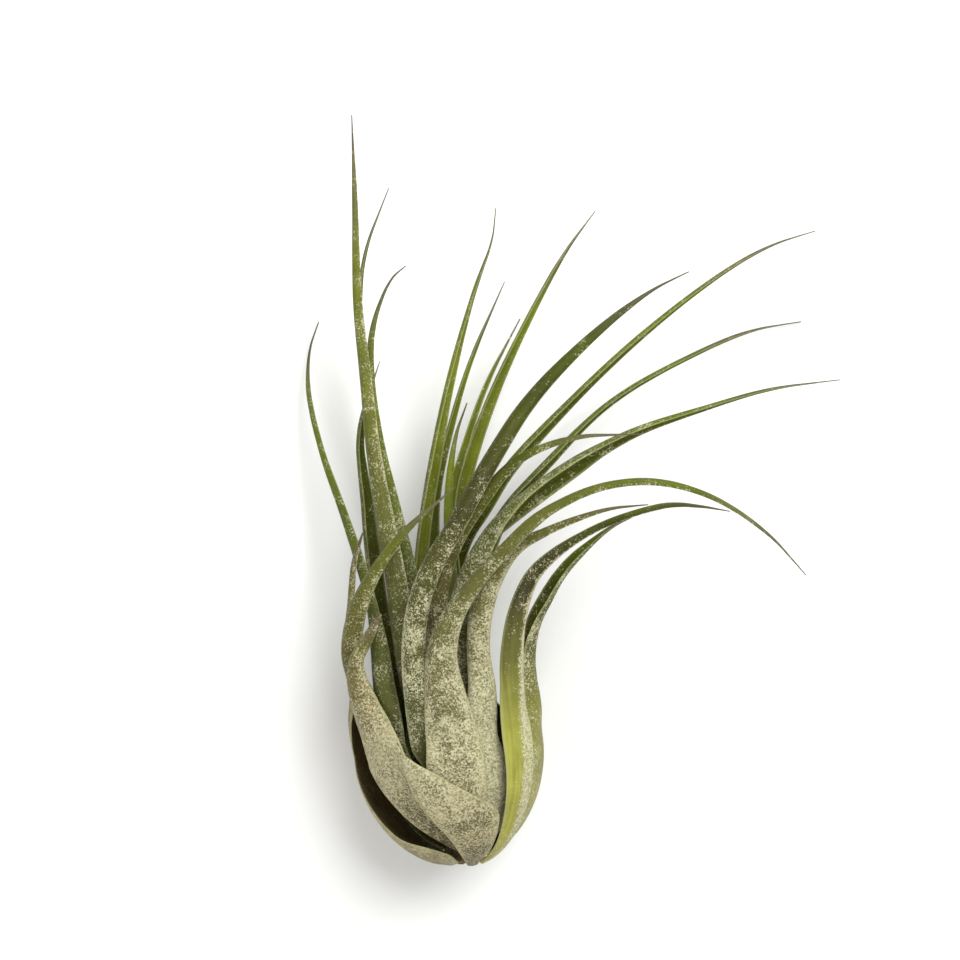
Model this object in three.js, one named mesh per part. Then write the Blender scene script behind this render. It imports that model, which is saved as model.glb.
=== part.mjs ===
import * as THREE from "three";

// Small air plant with a leaning rosette, lying on its back. Each leaf is a broad sheath, clasped round
// the stem like a layer of an onion, that narrows into a long channelled blade with a thread-like tip.
// X and Y lie in the surface that the plant rests on, with the tips towards +Y, and Z points up.

// Driving dimensions, in millimetres and degrees.
const BULB = {
  footX: -2.1,
  footY: -65.1,
  axisLevel: 16.9,
  lean: 9.2,
  height: 21.2,
  outerRadius: 17,
};

// Profile of the bulb from the stem to its widest level, as shares of its swell and of its height.
const PROFILE = [[0, 0], [0.45, 0.06], [1, 0.42], [1, 1]];

const STEM = {
  footRadius: 3.2,
  topRadius: 2.2,
  length: 17,
  edge: 0.6,
  sides: 20,
};

const LEAF = {
  sheathThickness: 0.8,
  tipThickness: 0.4,
  stemClearance: 0.4,
  neckFold: 52,
  bladeFold: 68,
};

// Leaves were measured in a picture plane: true to size at one level, larger nearer the eye.
const EYE = {
  distance: 900,
  trueLevel: 16.9,
};

// Fineness of the leaf solids.
const SECTION_POINTS = 8;
const SHEATH_STEPS = 9;
const STEPS_PER_SPAN = 2.5;
const BLANK = { radius: 1, height: 1 };

// Place on the bulb, as a share of the climb, from which a blade's course takes its direction.
const NECK_LEAD = 0.85;

const UP = new THREE.Vector3(0, 0, 1);
const LEAN = THREE.MathUtils.degToRad(BULB.lean);
const AXIS = new THREE.Vector3(-Math.sin(LEAN), Math.cos(LEAN), 0);
const SIDE = new THREE.Vector3(Math.cos(LEAN), Math.sin(LEAN), 0);
const FOOT = new THREE.Vector3(BULB.footX, BULB.footY, BULB.axisLevel);

const COLOURS = {
  silver: 0x9a9a80,
  greySheath: 0x85896a,
  olive: 0x646c34,
  green: 0x74852f,
  pale: 0x8f9350,
  stem: 0x6b5a3c,
};

const FINISH = { roughness: 0.75, metalness: 0 };

// The edges of a sheath are angles round the bulb, from the side that looks up, at each climb from the
// stem (0) to the widest level (1). Each blade is a list of places from the neck of the bulb to the tip:
// across, along, height above the rest surface, width round the channel, and the way the outer face
// looks (0 up, 90 to the left of the blade's course, -90 to its right, 180 down).
const LEAVES = [
  {
    name: "leaf_left_outermost",
    colour: COLOURS.greySheath,
    radius: 16.4,
    edges: [
      [0, -86, -22],
      [0.11, -146, -18],
      [0.22, -150, -20],
      [0.28, -150, -22],
      [0.36, -150, -44],
      [0.46, -150, -66],
      [0.62, -150, -75],
      [0.8, -150, -88],
      [1, -150, -95],
    ],
    blade: [
      [-19.9, -40.5, 9.9, 11.6, 130],
      [-20.6, -36.0, 10.9, 7.4, 118],
      [-22.1, -28.9, 12.5, 4.6, 95],
      [-21.8, -20.4, 16.0, 2.7, 85],
      [-21.3, -13.9, 18.4, 1.9, 75],
      [-19.9, -9.0, 19.6, 0.45, 60],
    ],
  },
  {
    name: "leaf_left_short",
    colour: COLOURS.silver,
    radius: 14.7,
    edges: [
      [0, -10, 6],
      [0.55, -47, -12],
      [1, -74, -31],
    ],
    blade: [
      [-20.8, -36.0, 24.2, 7.0, 52],
      [-21.2, -30.9, 25.4, 4.2, 46],
      [-19.2, -26.9, 26.8, 2.6, 35],
      [-17.9, -24.6, 27.6, 1.8, 32],
      [-16.8, -22.8, 28.2, 0.45, 30],
    ],
  },
  {
    name: "leaf_left_crossing",
    colour: COLOURS.greySheath,
    radius: 13.35,
    edges: [
      [0, -18, -9],
      [0.6, -53, -34],
      [1, -106, -64],
    ],
    blade: [
      [-20.7, -36.0, 19.4, 6.4, 70],
      [-22.2, -29.8, 21.4, 6.0, 62],
      [-21.7, -24.8, 23.2, 5.7, 50],
      [-19.9, -19.2, 25.0, 4.3, 44],
      [-16.8, -13.8, 26.4, 2.9, 41],
      [-12.8, -8.7, 27.2, 1.9, 40],
      [-4.2, -1.2, 27.0, 0.45, 40],
    ],
  },
  {
    name: "leaf_left_thin",
    colour: COLOURS.green,
    radius: 12.2,
    edges: [
      [0, -10, 6],
      [0.3, -38, -6],
      [0.6, -66, -18],
      [0.85, -62, -28],
      [1, -58, -34],
    ],
    blade: [
      [-16.3, -36.6, 25.2, 5.0, 30],
      [-17.3, -28.9, 23.4, 4.4, 35],
      [-18.4, -21.8, 20.8, 2.9, 45],
      [-20.3, -14.5, 16.9, 3.0, 60],
      [-23.1, -5.8, 12.4, 2.7, 70],
      [-26.6, 4.2, 8.0, 2.1, 75],
      [-29.1, 15.0, 4.0, 1.4, 70],
      [-28.9, 22.1, 1.9, 0.8, 60],
      [-27.4, 26.9, 0.6, 0.45, 60],
    ],
  },
  {
    name: "leaf_left_channelled",
    colour: COLOURS.olive,
    radius: 11.2,
    edges: [
      [0, -152, -112],
      [1, -152, -112],
    ],
    blade: [
      [-14.8, -36.6, 9.4, 6.0, 128],
      [-16.3, -27.2, 10.8, 5.0, 125],
      [-18.1, -15.3, 12.0, 4.8, 125],
      [-19.4, -3.4, 12.6, 3.8, 120],
      [-20.3, 8.5, 12.6, 2.3, 110],
      [-17.0, 20.2, 12.0, 0.45, 100],
    ],
  },
  {
    name: "leaf_tallest",
    colour: COLOURS.green,
    radius: 10.0,
    edges: [
      [0, -30, 8],
      [0.5, -72, 8],
      [0.8, -58, 8],
      [1, -27, 8],
    ],
    blade: [
      [-11.2, -35.7, 24.8, 5.8, 22],
      [-13.0, -27.2, 23.6, 5.3, 22],
      [-14.5, -17.0, 22.2, 4.9, 24],
      [-16.0, -8.5, 21.2, 4.4, 28],
      [-18.2, 4.2, 20.0, 3.5, 30],
      [-19.5, 16.8, 19.0, 2.8, 30],
      [-20.9, 30.6, 18.4, 2.1, 30],
      [-21.3, 47.6, 17.6, 1.2, 30],
      [-21.8, 62.1, 16.8, 0.4, 30],
    ],
  },
  {
    name: "leaf_behind_tallest",
    colour: COLOURS.green,
    radius: 14.5,
    edges: [
      [0, -176, -122],
      [1, -176, -122],
    ],
    blade: [
      [-9.2, -35.7, 4.6, 6.0, 150],
      [-11.7, -22.1, 6.0, 4.4, 140],
      [-15.1, -6.8, 7.6, 3.2, 130],
      [-18.7, 10.2, 9.4, 2.4, 120],
      [-20.3, 27.2, 11.2, 1.4, 110],
      [-19.5, 38.3, 12.2, 0.9, 110],
      [-15.5, 49.6, 12.8, 0.45, 110],
    ],
  },
  {
    name: "leaf_beside_tallest",
    colour: COLOURS.green,
    radius: 8.2,
    edges: [
      [0, -30, 8],
      [0.5, -104, 8],
      [0.8, -70, 8],
      [1, -30, 8],
    ],
    blade: [
      [-9.5, -35.7, 22.2, 5.6, 14],
      [-10.9, -23.8, 20.0, 4.2, 14],
      [-12.6, -13.6, 18.6, 3.4, 16],
      [-14.8, -4.2, 17.6, 2.8, 20],
      [-17.3, 6.8, 16.6, 2.2, 24],
      [-18.7, 17.9, 16.0, 1.9, 30],
      [-18.1, 26.4, 15.8, 1.2, 40],
      [-15.0, 34.2, 15.5, 0.8, 44],
      [-12.6, 36.4, 15.4, 0.45, 45],
    ],
  },
  {
    name: "leaf_upper_first",
    colour: COLOURS.green,
    radius: 8.8,
    edges: [
      [0, -174, -126],
      [1, -174, -126],
    ],
    blade: [
      [-10.4, -35.7, 9.2, 5.6, 145],
      [-10.5, -23.8, 10.0, 4.4, 140],
      [-10.0, -11.9, 11.2, 3.6, 130],
      [-7.9, 2.6, 12.8, 3.8, 120],
      [-4.6, 18.7, 14.2, 2.7, 110],
      [-0.7, 32.6, 15.0, 1.4, 100],
      [2.1, 40.8, 15.3, 0.8, 95],
      [2.7, 46.2, 15.4, 0.45, 95],
    ],
  },
  {
    name: "leaf_upper_second",
    colour: COLOURS.green,
    radius: 10.4,
    edges: [
      [0, 155, 197],
      [1, 155, 197],
    ],
    blade: [
      [-6.6, -35.7, 6.7, 5.6, 172],
      [-7.5, -23.8, 7.5, 4.2, 165],
      [-8.0, -12.8, 8.3, 3.2, 155],
      [-7.7, -3.4, 9.2, 2.4, 145],
      [-5.4, 7.5, 10.3, 1.8, 135],
      [-1.6, 20.1, 11.3, 1.2, 125],
      [4.2, 33.7, 11.8, 0.45, 120],
    ],
  },
  {
    name: "leaf_upper_third",
    colour: COLOURS.green,
    radius: 7.6,
    edges: [
      [0, 97, 147],
      [1, 97, 147],
    ],
    blade: [
      [-1.0, -35.7, 12.8, 5.0, -125],
      [-3.1, -23.8, 13.0, 3.8, -135],
      [-4.6, -12.8, 13.4, 3.0, -150],
      [-4.8, -3.4, 13.8, 2.0, -165],
      [-2.5, 5.8, 14.4, 1.5, -180],
      [1.1, 16.2, 15.0, 1.0, -190],
      [6.8, 27.4, 15.4, 0.45, -195],
    ],
  },
  {
    name: "leaf_upper_arching",
    colour: COLOURS.green,
    radius: 16.2,
    edges: [
      [0, 146, 206],
      [1, 146, 206],
    ],
    blade: [
      [-4.9, -35.7, 2.1, 6.4, 172],
      [-5.1, -23.8, 3.4, 4.6, 165],
      [-4.9, -12.8, 5.0, 3.6, 155],
      [-3.1, -1.7, 6.8, 3.6, 145],
      [1.1, 11.8, 8.4, 3.0, 135],
      [7.7, 26.3, 9.4, 2.0, 125],
      [14.6, 38.8, 9.8, 1.1, 120],
      [19.6, 45.7, 9.7, 0.45, 120],
    ],
  },
  {
    name: "leaf_centre_young",
    colour: COLOURS.green,
    radius: 4.2,
    edges: [
      [0, 10, 70],
      [1, 10, 70],
    ],
    blade: [
      [-3.2, -35.7, 19.6, 3.4, -30],
      [-4.1, -23.8, 18.8, 2.8, -20],
      [-5.1, -11.9, 17.8, 2.2, -10],
      [-5.3, -1.7, 17.0, 1.6, 0],
      [-4.1, 7.5, 16.6, 1.0, 10],
      [-2.2, 13.1, 16.4, 0.45, 20],
    ],
  },
  {
    name: "leaf_front_wide",
    colour: COLOURS.olive,
    radius: 13.35,
    edges: [
      [0, -5, 10],
      [0.85, -19, 8],
      [1, -27, 8],
    ],
    blade: [
      [-10.2, -37.4, 31.6, 6.6, 14],
      [-11.4, -28.6, 32.2, 5.3, 14],
      [-10.5, -20.7, 32.2, 4.9, 16],
      [-7.8, -13.6, 31.8, 4.7, 22],
      [-4.2, -7.5, 31.0, 4.4, 28],
      [0.5, 1.2, 29.2, 4.3, 32],
      [8.4, 13.6, 27.0, 3.5, 34],
      [20.3, 25.6, 25.2, 2.1, 36],
      [29.2, 32.2, 24.4, 0.9, 38],
      [35.5, 35.4, 24.0, 0.45, 40],
    ],
  },
  {
    name: "leaf_front_dark",
    colour: COLOURS.olive,
    radius: 12.2,
    edges: [
      [0, 12, 30],
      [1, -19, 17],
    ],
    blade: [
      [-6.6, -36.6, 28.8, 6.0, 4],
      [-7.3, -27.2, 28.4, 4.6, 6],
      [-7.0, -19.0, 28.2, 3.8, 12],
      [-4.6, -11.1, 28.0, 3.6, 22],
      [0.3, -3.3, 28.2, 3.3, 34],
      [6.0, 3.1, 28.9, 2.5, 50],
      [15.3, 7.0, 29.6, 1.5, 60],
      [27.5, 7.8, 30.2, 0.45, 60],
    ],
  },
  {
    name: "leaf_right_top",
    colour: COLOURS.green,
    radius: 14.4,
    edges: [
      [0, 136, 180],
      [1, 136, 180],
    ],
    blade: [
      [-1.7, -37.4, 4.8, 6.0, -165],
      [-3.6, -27.2, 6.4, 4.6, -190],
      [-4.6, -17.9, 8.6, 3.6, -215],
      [-2.7, -10.3, 11.4, 4.0, -235],
      [0.8, -4.5, 15.0, 4.4, -240],
      [5.1, 2.1, 17.8, 4.2, -245],
      [13.9, 11.6, 19.6, 3.3, -250],
      [27.4, 24.4, 20.4, 2.3, -255],
      [41.7, 35.4, 20.6, 1.3, -258],
      [49.6, 39.8, 20.4, 0.9, -259],
      [57.0, 42.3, 20.2, 0.45, -260],
    ],
  },
  {
    name: "leaf_right_upper",
    colour: COLOURS.green,
    radius: 13.2,
    edges: [
      [0, 108, 158],
      [1, 108, 158],
    ],
    blade: [
      [0.9, -37.4, 8.6, 5.4, -140],
      [-0.5, -27.2, 9.4, 4.4, -170],
      [0.0, -17.0, 10.4, 4.2, -205],
      [3.3, -7.0, 11.2, 4.0, -235],
      [11.5, 2.8, 11.0, 3.1, -250],
      [22.4, 13.2, 9.2, 2.2, -255],
      [35.7, 20.9, 5.6, 1.6, -258],
      [45.9, 25.2, 2.6, 1.0, -260],
      [54.6, 26.9, 0.4, 0.45, -260],
    ],
  },
  {
    name: "leaf_right_long",
    colour: COLOURS.green,
    radius: 11.1,
    edges: [
      [0, 4, 48],
      [1, 4, 48],
    ],
    blade: [
      [-2.2, -35.7, 26.2, 7.0, -14],
      [-3.4, -26.9, 25.2, 7.2, 8],
      [-2.9, -20.4, 24.8, 7.2, 30],
      [-1.2, -14.5, 24.6, 7.0, 60],
      [2.6, -8.6, 24.4, 7.6, 92],
      [8.5, -3.0, 24.4, 7.3, 112],
      [15.9, 2.4, 24.6, 6.2, 116],
      [20.3, 5.1, 25.0, 4.6, 114],
      [27.2, 8.5, 25.4, 3.1, 110],
      [38.1, 12.1, 25.6, 1.9, 105],
      [49.2, 15.3, 25.4, 1.0, 100],
      [61.2, 17.0, 25.0, 0.45, 100],
    ],
  },
  {
    name: "leaf_front_arching",
    colour: COLOURS.greySheath,
    radius: 15.65,
    edges: [
      [0, -6, 22],
      [0.5, -15, 22],
      [0.9, -15.5, 22],
      [1, -13, 21],
    ],
    blade: [
      [-5.8, -37.4, 33.6, 8.2, -2],
      [-6.6, -29.8, 34.4, 6.6, 4],
      [-4.9, -23.5, 35.2, 4.9, 14],
      [-0.9, -17.5, 36.0, 3.5, 24],
      [4.8, -11.1, 36.6, 3.0, 30],
      [8.7, -7.3, 36.9, 2.9, 34],
      [12.2, -4.8, 37.0, 2.3, 36],
      [20.4, -1.2, 37.0, 1.8, 40],
      [29.8, -0.3, 36.8, 1.7, 45],
      [39.6, -3.0, 36.2, 1.2, 50],
      [48.9, -9.2, 35.4, 0.8, 55],
      [55.4, -16.2, 34.6, 0.45, 55],
    ],
  },
  {
    name: "leaf_front_silver",
    colour: COLOURS.silver,
    radius: 14.6,
    edges: [
      [0, 12, 48],
      [0.6, 12, 51],
      [0.85, 10, 42],
      [1, 10, 36],
    ],
    blade: [
      [0.6, -36.6, 30.6, 6.0, -22],
      [-0.1, -28.9, 31.0, 5.0, -16],
      [0.3, -22.4, 31.4, 5.0, -8],
      [2.4, -16.3, 31.8, 4.2, 4],
      [6.0, -11.6, 32.2, 2.9, 10],
      [11.1, -8.8, 32.5, 1.8, 16],
      [16.7, -6.5, 32.7, 1.2, 20],
      [22.1, -4.9, 32.8, 0.9, 22],
      [28.6, -4.2, 32.8, 0.4, 25],
    ],
  },
  {
    name: "leaf_right_pale",
    colour: COLOURS.pale,
    radius: 16.95,
    edges: [
      [0, 35, 56],
      [1, 33, 57],
    ],
    blade: [
      [5.9, -35.7, 28.6, 6.3, -46],
      [5.8, -29.8, 28.2, 6.2, -47],
      [6.6, -23.1, 27.7, 5.5, -50],
      [8.9, -16.7, 27.2, 4.5, -54],
      [12.2, -13.1, 27.0, 3.4, -57],
      [17.5, -9.4, 26.8, 2.3, -60],
      [23.5, -6.6, 26.6, 1.9, -60],
      [32.0, -4.3, 26.4, 1.6, -60],
      [37.6, -4.5, 26.3, 1.2, -60],
      [42.5, -5.3, 26.2, 0.45, -60],
    ],
  },
  {
    name: "leaf_right_outermost",
    colour: COLOURS.pale,
    radius: 15.8,
    edges: [
      [0, 62, 116],
      [0.2, 61, 140],
      [0.6, 57, 138],
      [1, 53, 112],
    ],
    blade: [
      [8.8, -35.7, 20.6, 6.6, -76],
      [8.1, -29.8, 20.7, 6.0, -92],
      [9.2, -24.2, 20.9, 5.6, -106],
      [11.2, -20.3, 21.1, 4.8, -114],
      [13.8, -16.0, 21.3, 3.7, -118],
      [17.8, -11.7, 21.6, 2.6, -118],
      [22.5, -7.9, 21.8, 1.5, -115],
      [26.9, -5.8, 22.0, 0.45, -110],
    ],
  },
];

// The front sheath has no blade: its two edges meet in its point at the upper left.
const FRONT_SHEATH = {
  name: "sheath_front",
  colour: COLOURS.silver,
  radius: 17,
  edges: [
    [0, -2, 31],
    [0.25, -6, 31],
    [0.45, -11.5, 31],
    [0.6, -19, 28],
    [0.72, -24, 12],
    [0.8, -26.5, 0],
    [0.87, -27.4, -9],
    [0.93, -28, -18.5],
    [0.98, -28.8, -25],
    [1.04, -29.7, -29],
  ],
};

function stemRadius(height) {
  return THREE.MathUtils.lerp(STEM.footRadius, STEM.topRadius, height / STEM.length);
}

function outwards(azimuth) {
  return UP.clone().multiplyScalar(Math.cos(azimuth)).addScaledVector(SIDE, Math.sin(azimuth));
}

// A layer of the bulb: the profile, turned round the axis, from the stem to the widest level.
// Smaller layers start higher on the stem, so no two of them cross.
function bulbLayer(radius) {
  const footHeight = STEM.length * (1 - radius / BULB.outerRadius);
  const footRadius = stemRadius(footHeight) + LEAF.stemClearance;
  const rise = BULB.height - footHeight;
  const swell = radius - footRadius;
  const profile = new THREE.CubicBezierCurve(...PROFILE.map(([outShare, upShare]) =>
    new THREE.Vector2(footRadius + swell * outShare, footHeight + rise * upShare)));
  return function place(climb, azimuth, lift) {
    const spot = profile.getPoint(climb);
    const slope = profile.getTangent(climb);
    return FOOT.clone()
      .addScaledVector(AXIS, spot.y - slope.x * lift)
      .addScaledVector(outwards(azimuth), spot.x + slope.y * lift);
  };
}

// The middle and the half-width, in radians, of a sheath at one climb from the stem (0) to the widest
// level of the bulb (1).
function sheathSpread(edges, climb) {
  const { clamp, degToRad, lerp } = THREE.MathUtils;
  const above = Math.max(1, edges.findIndex(([level]) => level >= climb));
  const [lowLevel, lowLeft, lowRight] = edges[above - 1];
  const [highLevel, highLeft, highRight] = edges[above];
  const share = clamp((climb - lowLevel) / (highLevel - lowLevel), 0, 1);
  const left = lerp(lowLeft, highLeft, share);
  const right = lerp(lowRight, highRight, share);
  return { middle: degToRad((left + right) / 2), halfArc: degToRad((right - left) / 2) };
}

// Places round a leaf's flattened section: how far across, -1 to 1, and how far inwards, -1 to 1.
function sectionPlaces() {
  return Array.from({ length: SECTION_POINTS }, (_, index) => {
    const turn = index * 2 * Math.PI / SECTION_POINTS;
    return { across: Math.cos(turn), inward: Math.sin(turn) };
  });
}

function sheathRing(place, climb, { middle, halfArc }) {
  return sectionPlaces().map(({ across, inward }) =>
    place(climb, middle + across * halfArc, -inward * LEAF.sheathThickness / 2));
}

// A blade's section is centred on its course in depth too, once it has left the bulb (centring 1).
function bladeRing(centre, tangent, { width, facing, fold, thickness, centring }) {
  const upward = UP.clone().addScaledVector(tangent, -UP.dot(tangent)).normalize();
  const leftward = upward.clone().cross(tangent);
  const outer = upward.multiplyScalar(Math.cos(facing)).addScaledVector(leftward, Math.sin(facing));
  const rightward = tangent.clone().cross(outer);
  const channelRadius = width / 2 / fold;
  const channelDepth = channelRadius * (1 - Math.cos(fold));
  return sectionPlaces().map(({ across, inward }) => {
    const bend = across * fold;
    const reach = channelRadius - inward * thickness / 2;
    return centre.clone()
      .addScaledVector(outer, reach * Math.cos(bend) - channelRadius + centring * channelDepth / 2)
      .addScaledVector(rightward, reach * Math.sin(bend));
  });
}

// A place read off the picture plane, moved along the line of sight to its own level.
function sighted([across, along, level]) {
  const nearness = 1 - (level - EYE.trueLevel) / EYE.distance;
  return new THREE.Vector3(across * nearness, along * nearness, level);
}

function nearestTurn(angle, other) {
  return angle + 360 * Math.round((other - angle) / 360);
}

// Closed body through the rings: a capped cylinder whose rows of corners are moved onto them.
function solidThrough(rings) {
  const { radius, height } = BLANK;
  const spans = rings.length - 1;
  const geometry = new THREE.CylinderGeometry(radius, radius, height, SECTION_POINTS, spans);
  const corners = geometry.attributes.position;
  const corner = new THREE.Vector3();
  for (let index = 0; index < corners.count; index += 1) {
    corner.fromBufferAttribute(corners, index);
    const ring = rings[Math.round((corner.y / height + 0.5) * spans)];
    if (Math.hypot(corner.x, corner.z) < radius / 2) {
      corner.set(0, 0, 0);
      ring.forEach((point) => corner.addScaledVector(point, 1 / ring.length));
    } else {
      const turn = Math.atan2(corner.x, corner.z) / (2 * Math.PI) * SECTION_POINTS;
      corner.copy(ring[(Math.round(turn) + SECTION_POINTS) % SECTION_POINTS]);
    }
    corners.setXYZ(index, corner.x, corner.y, corner.z);
  }
  geometry.computeVertexNormals();
  return geometry;
}

function makeLeaf({ radius, edges, blade }) {
  const { degToRad, lerp, radToDeg } = THREE.MathUtils;
  const place = bulbLayer(radius);
  const rings = [];
  for (let step = 0; step < SHEATH_STEPS; step += 1) {
    const climb = step / SHEATH_STEPS;
    rings.push(sheathRing(place, climb, sheathSpread(edges, climb)));
  }

  const neck = [NECK_LEAD, 1].map((climb) => place(climb, sheathSpread(edges, climb).middle, 0));
  const course = new THREE.CatmullRomCurve3([...neck, ...blade.map(sighted)], false, "centripetal");
  const { middle, halfArc } = sheathSpread(edges, 1);
  const neckFacing = nearestTurn(-radToDeg(middle), blade[0][4]);
  const neckShape = new THREE.Vector3(2 * halfArc * radius, neckFacing, radToDeg(halfArc));
  const bladeShapes = blade.map(([, , , width, facing], index) =>
    new THREE.Vector3(width, facing, index === 0 ? LEAF.neckFold : LEAF.bladeFold));
  const shapes = new THREE.CatmullRomCurve3([neckShape, neckShape, ...bladeShapes], false, "catmullrom");
  const spans = blade.length + 1;
  const steps = Math.round(blade.length * STEPS_PER_SPAN);
  for (let step = 0; step <= steps; step += 1) {
    const along = step / steps;
    const where = lerp(1 / spans, 1, along);
    const shape = shapes.getPoint(where);
    rings.push(bladeRing(course.getPoint(where), course.getTangent(where), {
      width: shape.x,
      facing: degToRad(shape.y),
      fold: degToRad(shape.z),
      thickness: lerp(LEAF.sheathThickness, LEAF.tipThickness, along),
      centring: Math.min(1, along * blade.length),
    }));
  }
  return solidThrough(rings);
}

function makeFrontSheath({ radius, edges }) {
  const place = bulbLayer(radius);
  return solidThrough(edges.map(([climb]) => sheathRing(place, climb, sheathSpread(edges, climb))));
}

function makeStem() {
  const outline = [
    new THREE.Vector2(0, 0),
    new THREE.Vector2(STEM.footRadius - STEM.edge, 0),
    new THREE.Vector2(stemRadius(STEM.edge), STEM.edge),
    new THREE.Vector2(stemRadius(STEM.length - STEM.edge), STEM.length - STEM.edge),
    new THREE.Vector2(STEM.topRadius - STEM.edge, STEM.length),
    new THREE.Vector2(0, STEM.length),
  ];
  return new THREE.LatheGeometry(outline, STEM.sides);
}

function addPiece(group, name, geometry, colour) {
  const material = new THREE.MeshStandardMaterial({ color: colour, ...FINISH });
  const mesh = new THREE.Mesh(geometry, material);
  mesh.name = name;
  group.add(mesh);
  return mesh;
}

function makePlant() {
  const plant = new THREE.Group();
  const stem = addPiece(plant, "stem", makeStem(), COLOURS.stem);
  stem.position.copy(FOOT);
  stem.rotation.z = LEAN;
  addPiece(plant, FRONT_SHEATH.name, makeFrontSheath(FRONT_SHEATH), FRONT_SHEATH.colour);
  for (const leaf of LEAVES) {
    addPiece(plant, leaf.name, makeLeaf(leaf), leaf.colour);
  }
  // The origin is under the middle of the plant, on the surface that it rests on.
  const extent = new THREE.Box3().setFromObject(plant, true);
  const middle = extent.getCenter(new THREE.Vector3());
  plant.position.set(-middle.x, -middle.y, -extent.min.z);
  return plant;
}

export default makePlant();
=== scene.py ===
"""Small air plant, picked and laid on its back, seen from straight above.

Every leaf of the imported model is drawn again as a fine, closed leaf on the same course. Its finish is
green skin under silver scales, and the scales that stand out are small solids, strewn over it.
"""
import logging
import math
import random
from dataclasses import dataclass, field, replace
from enum import Enum

import bmesh
import bpy
import numpy as np
from mathutils import Matrix, Vector, noise


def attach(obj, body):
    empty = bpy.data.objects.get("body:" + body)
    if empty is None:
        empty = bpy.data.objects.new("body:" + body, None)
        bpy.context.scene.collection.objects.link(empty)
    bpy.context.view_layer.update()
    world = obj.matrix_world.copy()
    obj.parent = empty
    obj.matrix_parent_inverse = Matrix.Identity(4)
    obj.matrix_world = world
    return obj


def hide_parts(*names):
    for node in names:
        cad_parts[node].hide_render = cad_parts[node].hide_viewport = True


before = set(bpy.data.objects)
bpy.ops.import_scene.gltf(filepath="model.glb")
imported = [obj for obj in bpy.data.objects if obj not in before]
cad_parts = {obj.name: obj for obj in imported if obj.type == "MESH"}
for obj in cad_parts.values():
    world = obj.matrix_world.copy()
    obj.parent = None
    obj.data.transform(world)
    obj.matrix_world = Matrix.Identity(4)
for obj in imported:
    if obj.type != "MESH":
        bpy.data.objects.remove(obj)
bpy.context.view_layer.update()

log = logging.getLogger("air_plant")

MM = 0.001
BODY = "root"

# Corners round each ring of a packed leaf.
SECTION_CORNERS = 8

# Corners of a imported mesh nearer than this, in metres, are one corner.
SAME_PLACE = 1e-7

# Where along a leaf its felt, warmth and shade are given: foot, neck, middle of the blade, tip.
STATIONS = (0.0, 0.3, 0.6, 1.0)
NECK_STATION = STATIONS[1]

# Where along a leaf the outside takes its colours foot, neck, blade, upper and tip.
OUTSIDE_STOPS = (0.0, 0.3, 0.55, 0.82, 0.97)

# Where along a leaf the inner face takes its colours channel, channel again, upper and tip.
INSIDE_STOPS = (0.0, 0.7, 0.85, 0.97)

# Nearly all values of a noise texture lie between these two.
NOISE_LOW = 0.3
NOISE_HIGH = 0.7

# Felt thinner than this holds no scales that stand out.
SPARSE_FELT = 0.2

# Side of the stem's foot where an old leaf's base has left a swelling: to the left, a little back.
SWELLING_SIDE = Vector((-0.966, 0.0, -0.259))

# Share of the outside's felt that the inner face of a leaf carries, away from its margins.
INNER_FELT = 0.3

# Share of the outside's scales that stand out on the inner face.
INNER_SCALES = 0.12

# Sines of the angle round a leaf's section: past the first a spot counts as the inner face for its
# scales, and from nought to the second its skin passes from outside to inside.
INNER_FROM = 0.1
INNER_FADE = 0.25

# Shares of a leaf's half width: the pale rim begins at the first, and the others are the widths over
# which the rim and the margins' extra felt, partly a painted highlight, grow.
RIM_FROM = 0.87
RIM_FADE = 0.07
MARGIN_FADE = 0.35

# Fewest rings that a fine leaf has.
LEAST_RINGS = 12

# Scales made together before they join their leaf's mesh, which keeps the making quick.
TUFT = 80


def linear(colour: str) -> tuple[float, float, float, float]:
    """Turns an sRGB hex colour into linear light.

    Args:
        colour: Six hex digits after a hash sign.

    Returns:
        Red, green, blue and an alpha of one.
    """
    parts = [int(colour[i:i + 2], 16) / 255 for i in (1, 3, 5)]
    light = [c / 12.92 if c <= 0.04045 else ((c + 0.055) / 1.055) ** 2.4 for c in parts]
    return (light[0], light[1], light[2], 1.0)


def add_node(
    tree: bpy.types.NodeTree, kind: str, settings: dict | None = None, links: dict | None = None
) -> bpy.types.Node:
    """Adds a shader node.

    Args:
        tree: The node tree that it goes into.
        kind: Blender's name of the node type.
        settings: Properties by name, input values by socket name or number, and a ramp's stops.
        links: Sockets that feed its inputs, by socket name or number.

    Returns:
        The new node.
    """
    made = tree.nodes.new(kind)
    for key, value in (settings or {}).items():
        if key == "stops":
            places = made.color_ramp.elements
            for number, (position, colour) in enumerate(value):
                stop = places[number] if number < 2 else places.new(position)
                stop.position, stop.color = position, linear(colour)
        elif isinstance(key, str) and hasattr(made, key):
            setattr(made, key, value)
        else:
            made.inputs[key].default_value = value
    for key, source in (links or {}).items():
        tree.links.new(source, made.inputs[key])
    return made


def face_outwards(mesh: bmesh.types.BMesh) -> None:
    """Turns every face of a closed mesh outwards, also where the piece is strongly bent.

    Args:
        mesh: The closed mesh.
    """
    bmesh.ops.recalc_face_normals(mesh, faces=mesh.faces)
    if mesh.calc_volume(signed=True) < 0:
        bmesh.ops.reverse_faces(mesh, faces=mesh.faces)


def into_scene(name: str, mesh: bmesh.types.BMesh) -> bpy.types.Object:
    """Turns a finished bmesh into an object of the scene.

    Args:
        name: The piece's name.
        mesh: The bmesh, which is freed.

    Returns:
        The object, at the origin.
    """
    data = bpy.data.meshes.new(name)
    mesh.to_mesh(data)
    mesh.free()
    piece = bpy.data.objects.new(name, data)
    bpy.context.scene.collection.objects.link(piece)
    return piece


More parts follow.
